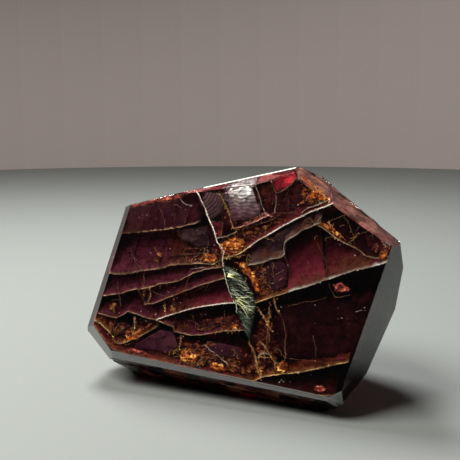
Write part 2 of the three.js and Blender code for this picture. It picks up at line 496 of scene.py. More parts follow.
fractures("pale_cracks", pale_crack, 0, 1.2, [[(4.4, 52.6), (5.2, 51.2), (6, 49.4), (6.5, 48),
    (7.2, 46.8), (7.8, 45.5)], [(4.4, 52.6, -0.05), (6, 53.3, 0.2), (8, 54, 0.6), (10.1, 55.3, 1.7),
    (12.1, 55.9, 2), (13.2, 57, 3.2)], [(8.1, 54), (9.9, 50.8), (11.6, 51.7), (13.3, 53), (14.2, 54.5)],
    [(9.8, 50.5), (10, 49.2), (9.9, 47.7), (9.8, 46.3)], [(-15, 48.9), (-13.9, 47.6), (-12.7, 47.1),
    (-11.2, 47)], [(16.3, 46.6), (17, 47.2), (18, 47.9), (20, 48.6), (21.9, 49.6), (24, 50.7)],
    [(1, 41.3), (-0.8, 40.4), (-2.3, 39.8), (-4, 39.4)], [(-4.1, 14), (-3.2, 13), (-2.1, 12.6),
    (-0.5, 11.7), (0.6, 11), (1.9, 10.2)], [(-10, 31.6), (-6.5, 32.2)], [(30.5, 25.3), (32, 25.8)],
    [(35.4, 40.6), (36.1, 40.2)], [(36, 41), (36.8, 40.4)], [(34.8, 41.2), (35.4, 40.9)], [(14.4, 54),
    (15.1, 54.4)], [(15, 54.5), (15.4, 53.9)], [(9.4, 13.4), (10.4, 13.9), (11.6, 13.7)]], seed=33,
    thickness=0.08, top=0.0)
fractures("rose_line", rose_vein, 0.4, 1.2, [
    [(0.4, 41.9), (2.5, 42.6), (4.5, 43.4), (6.4, 44.5), (8.4, 45.6)],
    [(7.4, 46.2), (8.4, 45.5), (9.3, 45.2)]], seed=37, thickness=0.2, ragged=0.2, top=0.0)
GOLD = [
    [(6.4, 16), (7, 15), (7.7, 14.3), (8.3, 12.7), (8.8, 11.5), (9.2, 9.4), (10, 8.6)],
    [(9.6, 10.3), (10.2, 8.8)],
    [(9.8, 15.9), (10.7, 14.8), (12.1, 13.3), (12.6, 12.5), (13.7, 11.8), (14, 10.8)],
    [(9, 13.2), (10, 12.9), (11.9, 12.9)],
    [(11.4, 26.7), (11.8, 25.4), (12.1, 24.5), (13, 23.2)],
    [(7.7, 24), (9, 22.6), (10.3, 21), (10.8, 20.1)],
    [(10.6, 24.6), (10.8, 22.5), (10.6, 20.2), (11.8, 18.9)],
    [(-2.2, 17.2), (-0.3, 17.7), (2, 18.1), (4.2, 18.5)],
    [(-10.8, 15.5), (-10.7, 13.4), (-11, 12.4), (-12.3, 11.4), (-13.8, 10.8)],
    [(-29.4, 13.4), (-28.3, 11.9), (-26.9, 11.7), (-25.6, 12.5)],
    [(-15.9, 22.4), (-15.2, 19.9)],
    [(-13.9, 22.3), (-12.9, 20.7)],
    [(-6.7, 35.6), (-5.3, 34), (-3.8, 33.1), (-2.5, 32.5)],
    [(-2.2, 35), (-0.5, 35.2), (1.6, 35.9), (3.6, 37.3)],
    [(18.4, 52.4), (19.6, 50.4), (20.4, 49)],
    [(-4.5, 50.4), (-3.3, 48.7), (-2.5, 47.2), (-1.5, 45.7), (-0.8, 43.8), (0.1, 41.8)],
    [(21.8, 51.4), (22.6, 49.8), (22.4, 48.4)],
    [(-20.6, 26.4), (-20, 24.6), (-20.3, 22.8)],
    [(-24, 18.6), (-23.4, 16.6), (-23.8, 15.2)],
    [(-8.6, 10.8), (-7.4, 9.8), (-6.2, 9.6), (-5, 8.6)],
    [(22.8, 45), (24.4, 41.5), (25.4, 41)]]
fractures("gold_cracks", gold_vein, 0, 1.2, GOLD, seed=34, thickness=0.07, ragged=0.22, top=0.1)
fractures("stained_cracks", tan_crack, 0.1, 1.5, [[(13, 23.2), (14.2, 21.7), (14.7, 19.9), (15.3, 18),
    (15.1, 16.4), (15.2, 15), (15.7, 13.2)], [(10.8, 20), (10.6, 17), (10.9, 14.8)], [(17.2, 44.8),
    (19.6, 44.3), (22.2, 43), (24.4, 41.5), (26.6, 40.3), (29.5, 39.3), (32, 37.6)]], seed=35,
    thickness=0.2, ragged=0.2, top=0.1)


def hairlines(name, finish, patches, length, lean, seed, thickness=0.05):
    """Short cracks strewn over patches, given as across, up, half width, half height and how many."""
    dice = random.Random(seed)
    traces = []
    for across, up, half_width, half_height, count in patches:
        for turn in range(count):
            x, y = across + dice.uniform(-1, 1) * half_width, up + dice.uniform(-1, 1) * half_height
            heading = math.radians(lean + dice.gauss(0, 45))
            trace = [(x, y)]
            for part in range(dice.choice((2, 3, 4))):
                step = length * dice.uniform(0.3, 1)
                x += step * math.cos(heading)
                y += step * math.sin(heading)
                heading += dice.gauss(0, 0.5)
                trace.append((x, y))
            traces.append(trace)
    fractures(name, finish, 0, 0.6, traces, seed=seed, thickness=thickness, ragged=0.04, top=0.05)


hairlines("gold_hairlines", gold_vein, [(0.5, 37.5, 3.5, 3, 16), (-8.5, 33.8, 4.5, 1.8, 10),
    (8, 31.5, 4.5, 3.5, 14), (11, 13, 3, 4.5, 9), (0, 11, 7, 3, 10), (-26, 14, 5, 2, 8),
    (20.5, 50.5, 3.5, 2, 12), (24, 42.5, 5, 2.5, 7), (7, 42, 5, 2.5, 9), (14.5, 10.8, 2, 1.4, 8),
    (-9, 10.5, 4, 2, 7), (35, 38.6, 1.4, 1.4, 6)], 0.9, 60, 41)
hairlines("tan_hairlines", tan_crack, [
    (-15, 45, 8, 2.5, 4), (-19, 24, 10, 5, 9), (-6, 26, 6, 3, 5), (10, 49, 6, 3, 7),
    (18, 34, 9, 2, 5), (31, 41, 3, 3, 5), (-4, 19.5, 6, 2, 6)], 1.1, 80, 42, thickness=0.035)


# The crest glare: a thin strip of near-white along the sharp top edge of the garnet. Its white is a
# painted highlight: it stands in for the glare of the light on the narrow top facet, a thin white line.

CREST_WIDTH = 0.4 * MM
CREST_FALL = Vector((-0.25, -0.86, -0.44))
# Near-white finish: a painted highlight for the glare on the narrow top facet.
crest_painted_glare = plain_finish("crest_painted_glare", (0.95, 0.95, 0.78), 0.5)
crest = lines("crest_glare_strip", [[(-9, 51.68, 1.14), (-4, 53.1, 1.89), (2, 54.81, 2.78), (8, 56.51, 3.67),
                                 (12.9, 57.9, 4.4)]], 0)
bpy.ops.mesh.subdivide(number_cuts=8)
bpy.ops.mesh.select_all(action="SELECT")
bpy.ops.mesh.extrude_region_move(TRANSFORM_OT_translate={"value": CREST_WIDTH * CREST_FALL})
bpy.ops.transform.vertex_random(offset=0.08 * MM, seed=4)
close_sheet(crest, 0.05, crest_painted_glare)


# The closed veils: old fractures that never reach the window, sheets of dust and tiny bubbles. The
# deep ones are dark and stop the eye; the shallow ones catch the light as red, rust and silver panes.


def veil(name, finish, corners, relief=0.4, wave=2.5, thickness=0.08, cuts=9, worn=0.0, seed=1, depth=0.0):
    """A sheet inside the stone through the corners, given as across and up, and a depth if they differ."""
    piece = lines(name, [corners], depth)
    bpy.ops.mesh.edge_face_add()
    bpy.ops.mesh.quads_convert_to_tris()
    bpy.ops.mesh.subdivide(number_cuts=cuts)
    bpy.ops.transform.vertex_random(offset=0.05 * MM, seed=seed)
    for turn in range(3 if worn else 0):
        bpy.ops.mesh.select_mode(type="VERT")
        bpy.ops.mesh.select_all(action="DESELECT")
        bpy.ops.mesh.select_non_manifold()
        bpy.ops.mesh.select_random(ratio=1 - worn, seed=seed + turn, action="DESELECT")
        bpy.ops.mesh.delete(type="VERT")
    bpy.ops.object.mode_set(mode="OBJECT")
    swell = bpy.data.textures.new(name, "CLOUDS")
    swell.noise_scale = wave * MM
    uneven = piece.modifiers.new("uneven", "DISPLACE")
    uneven.texture = swell
    uneven.texture_coords = "LOCAL"
    uneven.strength = relief * MM
    bpy.ops.object.modifier_apply(modifier="uneven")
    bpy.ops.object.mode_set(mode="EDIT")
    close_sheet(piece, thickness, finish)


veil("deep_veil_low", soot_vein, [(-6, 5, 8), (30, 5, 11), (38, 34, 15), (10, 35, 15), (-4, 30, 12)], 2)
veil("deep_veil_middle", wine_vein, [(-10, 24, 11), (16, 26, 12), (18, 46, 13), (-8, 46, 14)], 2)
veil("deep_veil_right", soot_vein, [(13, 31, 13.5), (38, 30, 14), (38, 42, 7), (25, 51, 5), (13, 50, 12)],
    2)
veil("deep_veil_top", smoke_vein, [(-14, 42, 9), (12, 44, 11), (30, 42, 9), (16, 56, 5), (-18, 52, 4)],
    1.5)
veil("deep_veil_left", wine_vein, [(-36, 14, 8), (2, 12, 10), (2, 30, 14), (-34, 26, 9)], 2)
veil("deep_veil_foot", plum_vein, [(-37, 9, 3.5), (-26, 5, 3.5), (24, 3, 6), (26, 10, 9), (-30, 20, 6.5)],
    1.5)


def crushed_finish(name, dark, middle, bright, grain=800, share=0.5):
    """Crushed, stained garnet: small angular grains, dark to middle, and the odd bright spark."""
    finish, shader = new_finish(name)
    place = add_node(finish, "TexCoord")
    stretch = add_node(finish, "Mapping", {"Rotation": (0, 0.5, 0), "Scale": (0.6, 1, 1.3)})
    join(finish, place, "Object", stretch, "Vector")
    splinters = add_node(finish, "TexVoronoi", {"Scale": grain})
    join(finish, stretch, "Vector", splinters, "Vector")
    clouds = add_node(finish, "TexNoise", {"Scale": 0.5 * grain, "Detail": 5, "Roughness": 0.75})
    join(finish, place, "Object", clouds, "Vector")
    both = add_node(finish, "Math", {1: 0.3}, operation="MULTIPLY_ADD")
    join(finish, splinters, "Color", both, 0)
    join(finish, clouds, "Fac", both, 2)
    ramp = add_ramp(finish, [
        (0.55 - 0.1 * (share - 0.5), dark), (0.67 - 0.2 * (share - 0.5), middle),
        (0.80 - 0.2 * (share - 0.5), bright)])
    join(finish, both, "Value", ramp, "Fac")
    join(finish, ramp, "Color", shader, "Base Color")
    shader.inputs["Roughness"].default_value = 0.35
    shader.inputs["Specular IOR Level"].default_value = SHEET_GLOSS
    return finish


red_glow = crushed_finish("red_glow", (0.16, 0.01, 0.015), (0.42, 0.02, 0.04), (1.0, 0.07, 0.09), 420)
rose_skin = crushed_finish("rose_skin", (0.14, 0.03, 0.035), (0.42, 0.13, 0.11), (0.95, 0.42, 0.30), 1300)
rust_skin = crushed_finish("rust_skin", (0.1, 0.018, 0.012), (0.72, 0.15, 0.025), (1.0, 0.52, 0.12), 1700,
    0.7)
brown_skin = crushed_finish("brown_skin", (0.045, 0.012, 0.012), (0.22, 0.065, 0.03), (0.95, 0.42, 0.12),
    1500, 0.3)
cloudy_rose = crushed_finish("cloudy_rose", (0.14, 0.04, 0.03), (0.4, 0.155, 0.12), (0.8, 0.38, 0.26),
    420)
dark_rose = crushed_finish("dark_rose", (0.20, 0.03, 0.04), (0.38, 0.08, 0.09), (0.85, 0.30, 0.26), 600)
smoke_cloud = crushed_finish("smoke_cloud", (0.045, 0.018, 0.024), (0.08, 0.04, 0.045),
    (0.15, 0.09, 0.09), 700)
crimson_skin = crushed_finish("crimson_skin", (0.1, 0.012, 0.02), (0.24, 0.025, 0.045),
    (0.36, 0.06, 0.07), 500)
plum_pane = crushed_finish("plum_pane", (0.05, 0.012, 0.022), (0.085, 0.02, 0.036), (0.16, 0.045, 0.07),
    350)
amber_skin = crushed_finish("amber_skin", (0.34, 0.04, 0.012), (0.95, 0.25, 0.03), (1.0, 0.72, 0.24),
    1100, 0.45)

veil("red_pane", red_glow, [(8.4, 53.9, 1.2), (9.9, 51, 0.6), (11.6, 51.9, 0.8), (13.1, 53.2, 1),
    (14.2, 54.6, 1.4), (13.2, 56.5, 2.6), (10.7, 55.4, 1.9)], 0.4, 1.0, cuts=5)
veil("red_pane_right", red_glow, [(24.2, 49.5, 1.5), (25.5, 46.4, 0.8), (27.4, 47.2, 0.8),
    (26.2, 49, 1.5)], cuts=8, worn=0.5)
veil("rose_edge", rose_skin, [(-28.5, 45.7, 0.5), (-22, 46.5, 0.4), (-21.5, 47.4, 0.4), (-16, 48.3, 0.5),
                              (-16, 50.3, 1.2), (-29, 47.5, 1)], 0.1, 1.0, cuts=9, worn=0.15)
veil("rose_band", rose_skin, [(1.8, 42.3, 0.3), (4.1, 43, 0.3), (7.4, 44.8, 0.3), (8.8, 45.7, 0.3),
    (7.6, 46.6, 1), (5.7, 45.9, 1.2), (2.2, 43.8, 1.2)], 0.3, 1.0, cuts=8, worn=0.3)
veil("brown_panes", brown_skin, [(0.5, 36.5, 1.5), (6, 40.4, 1.2), (12, 44, 1.2), (15.5, 46, 1.2),
    (9, 45.5, 1.5), (5, 43, 1.5), (0.5, 41.5, 2)], 0.8, 1.5, cuts=10, worn=0.4)
veil("brown_middle", brown_skin, [(2, 33.5, 1.5), (5.5, 29, 1), (7.6, 26, 0.8), (12.5, 28, 0.8),
    (14.8, 29.5, 1.5), (13.5, 36, 3), (8, 35, 2), (3, 36, 1.5)], 1.0, 1.2, cuts=12, worn=0.4)
veil("brown_plum", plum_pane, [(8.8, 33.8, 0.5), (9.4, 30, 0.5), (10.6, 28.2, 0.5), (14.2, 29.6, 0.5),
    (14.2, 34, 0.5), (12.4, 35.4, 0.5), (10.4, 34.8, 0.5)], 0.1, 1.2, cuts=6)
veil("rust_wedge", brown_skin, [(24, 31, 1.5), (25.8, 28, 1), (29, 29, 1), (29.8, 30, 1.5),
    (26.5, 32, 2)], 0.5, 1.5, cuts=9, worn=0.5)
veil("rust_corner", rust_skin, [(32.8, 36.2, 1.5), (36, 37.2, 0.5), (36.8, 40.5, 0.5), (34.2, 39, 2),
    (32, 37.6, 2)], 0.5, 1.0, cuts=9, worn=0.5)
veil("rust_foot_right", rust_skin, [(22, 8.3, 0.6), (24.5, 8.8, 0.8), (25.7, 7.6, 0.6), (24.8, 6.4, 0.4),
    (22.5, 6.4, 0.4)], 0.5, 1.0, cuts=8, worn=0.5)
veil("rust_foot_left", rust_skin, [(-25.4, 13.3, 1), (-24.7, 12.5, 0.6), (-21.3, 14.4, 0.6),
    (-22.9, 15.2, 1.2), (-25.8, 15.3, 1.5)], 0.4, 1.0, cuts=8, worn=0.5)
veil("rose_foot_left", rose_skin, [(-25.8, 10.3, 0.5), (-24.4, 11.3, 0.8), (-21, 11, 0.8),
    (-17.5, 9.6, 0.5), (-18, 9.1, 0.3), (-24, 9.4, 0.3)], 0.4, 1.0, cuts=8, worn=0.5)
veil("rose_foot", rose_skin, [(-11, 8.6, 0.3), (-6, 8.1, 0.3), (-6, 10, 1), (-8.5, 10.8, 1),
    (-11, 10.2, 1)], 0.4, 1.0, cuts=8, worn=0.5)
veil("brown_foot_left", brown_skin, [(-11, 9, 0.6), (-1, 7.8, 0.6), (7.5, 7.5, 0.8), (6, 12.5, 1.5),
    (-3, 15.5, 1.8), (-11, 14, 1.8)], 0.8, 1.5, cuts=12, worn=0.4)
veil("plum_foot_left", plum_pane, [(-23.4, 11.2, 0.4), (-20.4, 13.8, 0.4), (-16.2, 16.4, 0.4),
    (-12.8, 16, 0.4), (-11.4, 13.2, 0.4), (-13.4, 10.8, 0.4), (-18.4, 11.4, 0.4)], 0.1, 1.2, cuts=7)
veil("plum_foot_middle", plum_pane, [(-4.8, 12.6, 0.4), (-1, 15, 0.4), (4.6, 14.4, 0.4), (5.2, 11.6, 0.4),
    (0.8, 11.9, 0.4)], 0.1, 1.2, cuts=7)
veil("amber_pane", amber_skin, [(-24.8, 12.8, 0.3), (-22.9, 12.4, 0.3), (-20.3, 14.4, 0.3),
    (-21.6, 16.3, 0.4), (-24.4, 15.9, 0.4)], 0.2, 1.2, cuts=8, worn=0.4)
veil("amber_pane_middle", amber_skin, [(-10.6, 9, 0.3), (-6.4, 8.6, 0.3), (-5.6, 11.4, 0.3),
    (-8, 13.6, 0.4), (-10.8, 12.6, 0.4)], 0.2, 1.2, cuts=8, worn=0.4)
veil("amber_hub", amber_skin, [(-3.7, 37.6, 0.25), (-2, 35.3, 0.15), (0.6, 35.6, 0.15), (2.9, 36.9, 0.15),
    (3.4, 38.6, 0.3), (0.4, 40, 0.3), (-3, 39.4, 0.3)], 0.2, 1.0, cuts=9, worn=0.3)
veil("amber_left", amber_skin, [(-9, 33.4, 0.4), (-5, 33.4, 0.3), (-2.6, 34.4, 0.3), (-4.4, 36.4, 0.5),
    (-7.6, 35.6, 0.5)], 0.2, 1.0, cuts=8, worn=0.45)
veil("amber_right", amber_skin, [(1.5, 33.6, 0.4), (4.4, 30.4, 0.3), (7, 26.6, 0.3), (9, 27.2, 0.4),
    (7.6, 31.4, 0.4), (4.6, 34.2, 0.5)], 0.2, 1.0, cuts=9, worn=0.5)
veil("brown_corner_left", brown_skin, [(-33, 17, 1.2), (-30, 14.2, 0.8), (-26, 12.2, 0.8),
    (-17.5, 17, 1.2), (-22, 18.3, 1.5), (-29, 17.2, 1.2)], 0.6, 1.2, cuts=11, worn=0.4)
veil("rust_fan", rust_skin, [(-1, 17.6, 0.3), (2.2, 18.2, 0.3), (4.2, 18.8, 0.5), (3, 20.8, 2),
    (1, 19.2, 1.5)], 0.4, 1.0, cuts=8, worn=0.5)
veil("brown_fan", brown_skin, [(-9, 16.3, 0.8), (-3, 17.4, 0.6), (4.3, 18.9, 0.8), (3, 22.6, 2.5),
    (-6, 20.5, 2.5)], 0.6, 1.2, cuts=10, worn=0.4)
veil("hub_pane", rust_skin, [(-4, 39.3, 1.2), (-1.6, 34.9, 0.4), (1, 35.6, 0.4), (3, 36.9, 0.4),
    (4.4, 38.6, 0.8), (1.5, 41, 1.2)], 0.6, 1.2, cuts=9, worn=0.4)
veil("hub_left_pane", rust_skin, [(-11, 32.7, 1), (-7, 33.2, 0.6), (-2.8, 33.2, 0.5), (-4, 35.8, 1),
                                  (-9, 34.8, 1.2)], 0.5, 1.2, cuts=9, worn=0.4)
veil("brown_left_pane", brown_skin, [(-15, 32.2, 1.2), (-7, 33.4, 0.8), (-2.6, 33.6, 0.8),
    (-3.2, 38, 1.5), (-8, 38.5, 2), (-15, 35.5, 2)], 0.5, 1.2, cuts=11, worn=0.4)
veil("smoky_left", smoke_cloud, [(-13.6, 38.6, 0.9), (-8.5, 37, 0.8), (-5.6, 37.5, 0.8), (-7, 42.3, 0.9),
    (-10, 41.6, 0.9), (-14.4, 40.9, 0.9)], 0.1, 1.2, cuts=8)
veil("smoky_right", smoke_cloud, [(6.5, 39.4, 1.2), (12.6, 43.2, 1.2), (15.6, 44.6, 1.2),
    (18.2, 43.6, 1.5), (13.2, 40.2, 1.2), (12.5, 37.2, 1.2), (8, 36.6, 1.5)], 0.4, 1.5, cuts=9, worn=0.3)
veil("top_cells", top_plum, [(4.6, 52.4, 2), (8, 53.8, 2.2), (15, 54.2, 2.2), (25, 48, 2.5), (20, 46, 3),
    (9, 45, 3), (7.6, 45.4, 2.5)], 0.8, 2, cuts=8)
veil("top_cells_left", top_plum, [(-10.5, 50.6, 1.6), (4.6, 52.4, 1.8), (9, 45, 2.6), (1, 42, 2.2),
    (-6, 43.6, 1.8)], 0.4, 2, cuts=8)
veil("low_right_plum", plum_vein, [(9, 13, 3), (31, 15, 3), (34, 30, 4.5), (12, 25.5, 4)], 1.5, 4, cuts=7)
veil("plum_cell", crimson_skin, [(-5.6, 43.2, 0.5), (-2.9, 43.2, 0.5), (-3, 39.8, 0.5),
    (-4.5, 39.9, 0.5)], 0.2, 1.2, cuts=6)
veil("crimson_low", crimson_skin, [(17, 30.3, 0.6), (23, 32.6, 0.6), (30, 35, 0.6), (29.5, 36.6, 1.8),
    (23, 34.8, 1.8), (17, 32.6, 1.8)], 0.4, 1.5, cuts=11, worn=0.4)
veil("pink_foot_right", crimson_skin, [(24.8, 13.2, 0.3), (29.8, 14.6, 0.3), (29.5, 16.2, 1),
    (25.5, 14.8, 1)], 0.3, 1.0, cuts=8, worn=0.5)
veil("gold_patch", rust_skin, [(-10.8, 17.4, 0.3), (-9.2, 17.3, 0.3), (-8.8, 18.6, 0.5),
    (-10.2, 18.8, 0.5)], 0.2, 1.0, cuts=6, worn=0.5)
veil("streak_pane", rust_skin, [(17, 49, 1), (22, 49.3, 0.8), (24.6, 50.4, 0.8), (20.5, 52.8, 1),
    (17.5, 52.5, 1.5)], 0.8, 0.8, cuts=10, worn=0.4)
veil("streak_brown", brown_skin, [(14, 47, 1.2), (21, 48.6, 1), (25, 50, 1), (19, 54, 1.5),
    (15, 54, 1.8)], 0.8, 0.8, cuts=10, worn=0.4)
veil("ridge_gold", rust_skin, [(17.4, 44.9, 0.3), (22.2, 43.2, 0.3), (26.8, 40.4, 0.3), (27.4, 41.4, 1),
    (23, 44.2, 1), (19, 45.9, 1)], 0.4, 0.8, cuts=10, worn=0.5)
veil("hot_foot", rust_skin, [(13, 9.5, 0.4), (17.2, 10.4, 0.4), (16.4, 12.4, 0.9), (14.5, 13.2, 1),
    (13.3, 11.8, 0.8)], 0.5, 0.8, cuts=9, worn=0.5)
veil("brown_foot", brown_skin, [(4.5, 8, 1), (13, 9.2, 1.2), (15, 14, 2.5), (12, 24, 4), (8, 24, 4),
    (6, 16, 2.5)], 0.8, 1.5, cuts=11, worn=0.4)


for name, corners in [
        ("stain_upper_left", [(-22.9, 27.8), (-21.3, 28), (-20.5, 22.8), (-22.1, 22.4)]),
        ("stain_lower_left", [(-14.8, 24.4), (-12.6, 25), (-12.2, 20.8), (-14.6, 20)]),
        ("stain_far_left", [(-32, 21.6), (-29, 22.2), (-28.2, 18.6), (-31.6, 18.8)]),
        ("stain_above", [(-20.4, 36.5), (-16.8, 36.8), (-17.4, 31.6), (-20, 31.2)])]:
    veil(name, brown_skin, corners, 0.1, 1, cuts=9, worn=0.45, depth=0.35)


# The glints: where a stained crack has crumbled right at the window, tiny amber and rose chips of garnet
# catch the full light. To catch it here they stand up to 0.06 mm in front of the polished face.

GLINT_DEPTH = -0.01
GLINT_THICKNESS = 0.012
amber_glint = crushed_finish("amber_glint", (0.045, 0.008, 0.004), (0.4, 0.085, 0.014), (1.0, 0.6, 0.17),
    1900, 0.2)
for name, corners in [
        ("glint_hub", [(-3.4, 37.2), (-2, 35.2), (0.8, 35.6), (3.2, 37), (3.6, 38.6), (0.6, 40.4),
                       (-2.8, 39.4)]),
        ("glint_hub_left", [(-8.4, 33.4), (-2.6, 33.2), (-3.4, 35.6), (-6.8, 35.4)]),
        ("glint_spindle", [(0.6, 34.2), (3.2, 32.6), (6.2, 28.6), (7.2, 26.8), (8.4, 27.6), (6.6, 31.6),
                           (3.4, 34.4)]),
        ("glint_foot", [(-10.4, 9.2), (-6.2, 8.8), (-5.6, 11), (-8, 12.8), (-10.8, 12)]),
        ("glint_foot_middle", [(-4, 8.4), (3, 7.8), (2, 10.2), (-2.6, 11)]),
        ("glint_foot_right", [(13.2, 9.6), (17, 10.3), (16, 12.2), (14, 12.6)]),
        ("glint_foot_left", [(-25.6, 12.3), (-23.6, 12.6), (-21, 14.2), (-22.4, 15), (-25.8, 14)]),
        ("glint_fan", [(-0.6, 17.6), (4, 18.6), (2.6, 20), (0.8, 19)]),
        ("glint_top_right", [(17.6, 50), (20.8, 49), (23.4, 50.2), (20.6, 52), (18.4, 52.8)]),
        ("glint_ridge", [(21.4, 43.6), (25.6, 41), (26.2, 42), (23, 44.6)]),
        ("glint_corner", [(34, 36.6), (36.4, 37.2), (36.8, 39.2), (34.6, 38.4)])]:
    veil(name, amber_glint, corners, 0.02, 1, GLINT_THICKNESS, cuts=12, worn=0.55, depth=GLINT_DEPTH)


rose_glint = crushed_finish("rose_glint", (0.035, 0.007, 0.008), (0.2, 0.032, 0.028), (0.75, 0.2, 0.12),
    1700, 0.25)
for name, corners in [
        ("glint_rose_edge", [(-27.9, 45.9), (-20, 47.3), (-14, 48.5), (-12.2, 50), (-16.7, 49.3),
                             (-27.8, 46.3)]),
        ("glint_rose_left", [(-25.6, 10.3), (-24.2, 11.3), (-21, 11), (-17.6, 9.8), (-18, 9.4),
                             (-24, 9.8)]),
        ("glint_rose_foot", [(22.4, 8), (24.4, 8.6), (25.6, 7.6), (24.8, 6.6), (22.8, 6.8)]),
        ("glint_rose_wedge", [(24.3, 31), (25.8, 28.4), (28.8, 29), (29.4, 30.2), (26.6, 31.8)]),
        ("glint_rose_ridge", [(36.2, 38.2), (37, 39), (36.6, 40.4), (35.2, 40)])]:
    veil(name, rose_glint, corners, 0.02, 1, GLINT_THICKNESS, cuts=12, worn=0.5, depth=GLINT_DEPTH)


# The skins under the outer facets: fractures that run close beneath the upper right facet and the grown
# faces, stained brown and rose, so those sides look cloudy too.


GRID_CELLS = 50
GRID_SIZE = 50 * MM


def facet_skin(name, finish, bearing, slope, depth, relief=0.4, worn=0.5, bare=0.1, seed=1):
    """A cloudy sheet just under the facet that faces this way."""
    bearing, slope = math.radians(bearing), math.radians(slope)
    level = math.cos(slope)
    facing = Vector((math.sin(bearing) * level, -math.cos(bearing) * level, math.sin(slope)))
    normal, place = max(facets, key=lambda facet: facet[0].dot(facing))
    start_clean()
    bpy.ops.mesh.primitive_grid_add(x_subdivisions=GRID_CELLS, y_subdivisions=GRID_CELLS, size=GRID_SIZE,
                                    location=place - depth * MM * normal,
                                    rotation=normal.to_track_quat("Z", "Y").to_euler())
    piece = bpy.context.object
    piece.name = name
    bpy.ops.object.transform_apply(location=True, rotation=True, scale=True)
    bpy.ops.object.mode_set(mode="EDIT")
    trim_to_stone(-0.8 * depth * MM)
    bpy.ops.mesh.select_all(action="DESELECT")
    bpy.ops.mesh.select_random(ratio=bare, seed=seed)
    bpy.ops.mesh.delete(type="VERT")
    bpy.ops.mesh.select_all(action="DESELECT")
    bpy.ops.mesh.select_non_manifold()
    bpy.ops.mesh.select_random(ratio=1 - worn, seed=seed, action="DESELECT")
    bpy.ops.mesh.delete(type="VERT")
    bpy.ops.mesh.select_all(action="SELECT")
    bpy.ops.transform.vertex_random(offset=relief * MM, seed=seed)
    close_sheet(piece, 0.06, finish)


rusty_panes = crushed_finish("rusty_panes", (0.05, 0.012, 0.012), (0.42, 0.1, 0.05), (0.85, 0.35, 0.2),
    190, 0.4)
facet_skin("upper_right_skin", cloudy_rose, 76, 58.5, 0.5, relief=0.2, worn=0, bare=0)
facet_skin("underside_skin", rusty_panes, -4.5, -49, 0.5, bare=0.02)
facet_skin("foot_skin", soot_vein, 0, -90, 0.7, bare=0.0)
facet_skin("left_skin", plum_vein, -91.5, 14, 0.7, bare=0.0)
facet_skin("underside_left_skin", rusty_panes, -64.5, -45.5, 0.5, bare=0.04)
veil("upper_right_glow", amber_skin, [(15.2, 54.3, 0.3), (22, 49.9, 0.3), (22.5, 50.7, 3), (16, 55.2, 4),
    (14, 56.6, 4.5)], 0.1, 1.0, cuts=9, worn=0.4)
veil("crest_rose", dark_rose, [(-15, 49.6, 0.1), (4.4, 52.6, 0.2), (8, 53.9, 0.8), (10.1, 55.1, 1.9),
    (12.1, 55.7, 2.2), (12.7, 57.5, 4.4), (-9, 51.4, 1.3)], 0.1, 2, cuts=5)


# The silver fracture: at the top, near the middle, one fracture holds a film of air that mirrors the
# light. Its shine is a painted highlight, a wash that is white at one spot and fades outward to dark
# red. It is combed with ripples, and beside it lies a shell-shaped break with curved ribs.


def combed_finish(name, middle, reach, wash, groove, period, wander, rings):
    """Ripple marks: dark grooves, straight or in rings, over a wash of colours spreading from a spot."""
    finish, shader = new_finish(name)
    place = add_node(finish, "TexCoord")
    offset = add_node(finish, "VectorMath", {1: in_stone(*middle)}, operation="SUBTRACT")
    join(finish, place, "Object", offset, 0)
    combed = add_node(
        finish, "TexWave",
        {"Scale": 0.314 / (period * MM), "Distortion": wander, "Detail": 3, "Detail Scale": 1.5},
        wave_type="RINGS" if rings else "BANDS", rings_direction="Y", bands_direction="Z")
    join(finish, offset, "Vector", combed, "Vector")
    spread = add_node(finish, "VectorMath", operation="LENGTH")
    join(finish, offset, "Vector", spread, 0)
    share = add_node(finish, "MapRange", {"From Max": reach * MM})
    join(finish, spread, "Value", share, "Value")
    ramp = add_ramp(finish, [(number / (len(wash) - 1), color) for number, color in enumerate(wash)])
    join(finish, share, "Result", ramp, "Fac")
    light = add_node(finish, "MapRange", {"From Min": 0.1, "From Max": 0.8, "To Min": groove})
    join(finish, combed, "Fac", light, "Value")
    worn_film = add_node(finish, "TexNoise", {"Scale": 500, "Detail": 5})
    join(finish, place, "Object", worn_film, "Vector")
    film = add_node(finish, "MapRange", {"From Min": 0.35, "From Max": 0.65, "To Min": 0.35, "To Max": 1.3})
    join(finish, worn_film, "Fac", film, "Value")
    share_lit = add_node(finish, "Math", operation="MULTIPLY")
    join(finish, light, "Result", share_lit, 0)
    join(finish, film, "Result", share_lit, 1)
    tint = add_node(finish, "VectorMath", operation="SCALE")
    join(finish, ramp, "Color", tint, 0)
    join(finish, share_lit, "Value", tint, "Scale")
    join(finish, tint, "Vector", shader, "Base Color")
    shader.inputs["Roughness"].default_value = 0.3
    return finish


# The white middle of this wash is a painted highlight, the glare of the light on the air film.
silver_skin_painted_glare = combed_finish("silver_skin_painted_glare", (2, 51), 9, [
    (1.0, 0.98, 0.96), (0.95, 0.84, 0.82), (0.48, 0.30, 0.33), (0.28, 0.11, 0.14), (0.22, 0.06, 0.08)],
    0.45, 0.9, 6, False)
shell_skin = combed_finish("shell_skin", (-9.6, 50.4), 8, [
    (0.26, 0.09, 0.11), (0.26, 0.10, 0.12), (0.34, 0.15, 0.17)], 0.1, 0.8, 4, True)
comb_skin = combed_finish("comb_skin", (-11, 49.5), 6, [(0.62, 0.3, 0.28), (0.4, 0.12, 0.13)], 0.2, 0.8,
    6, True)


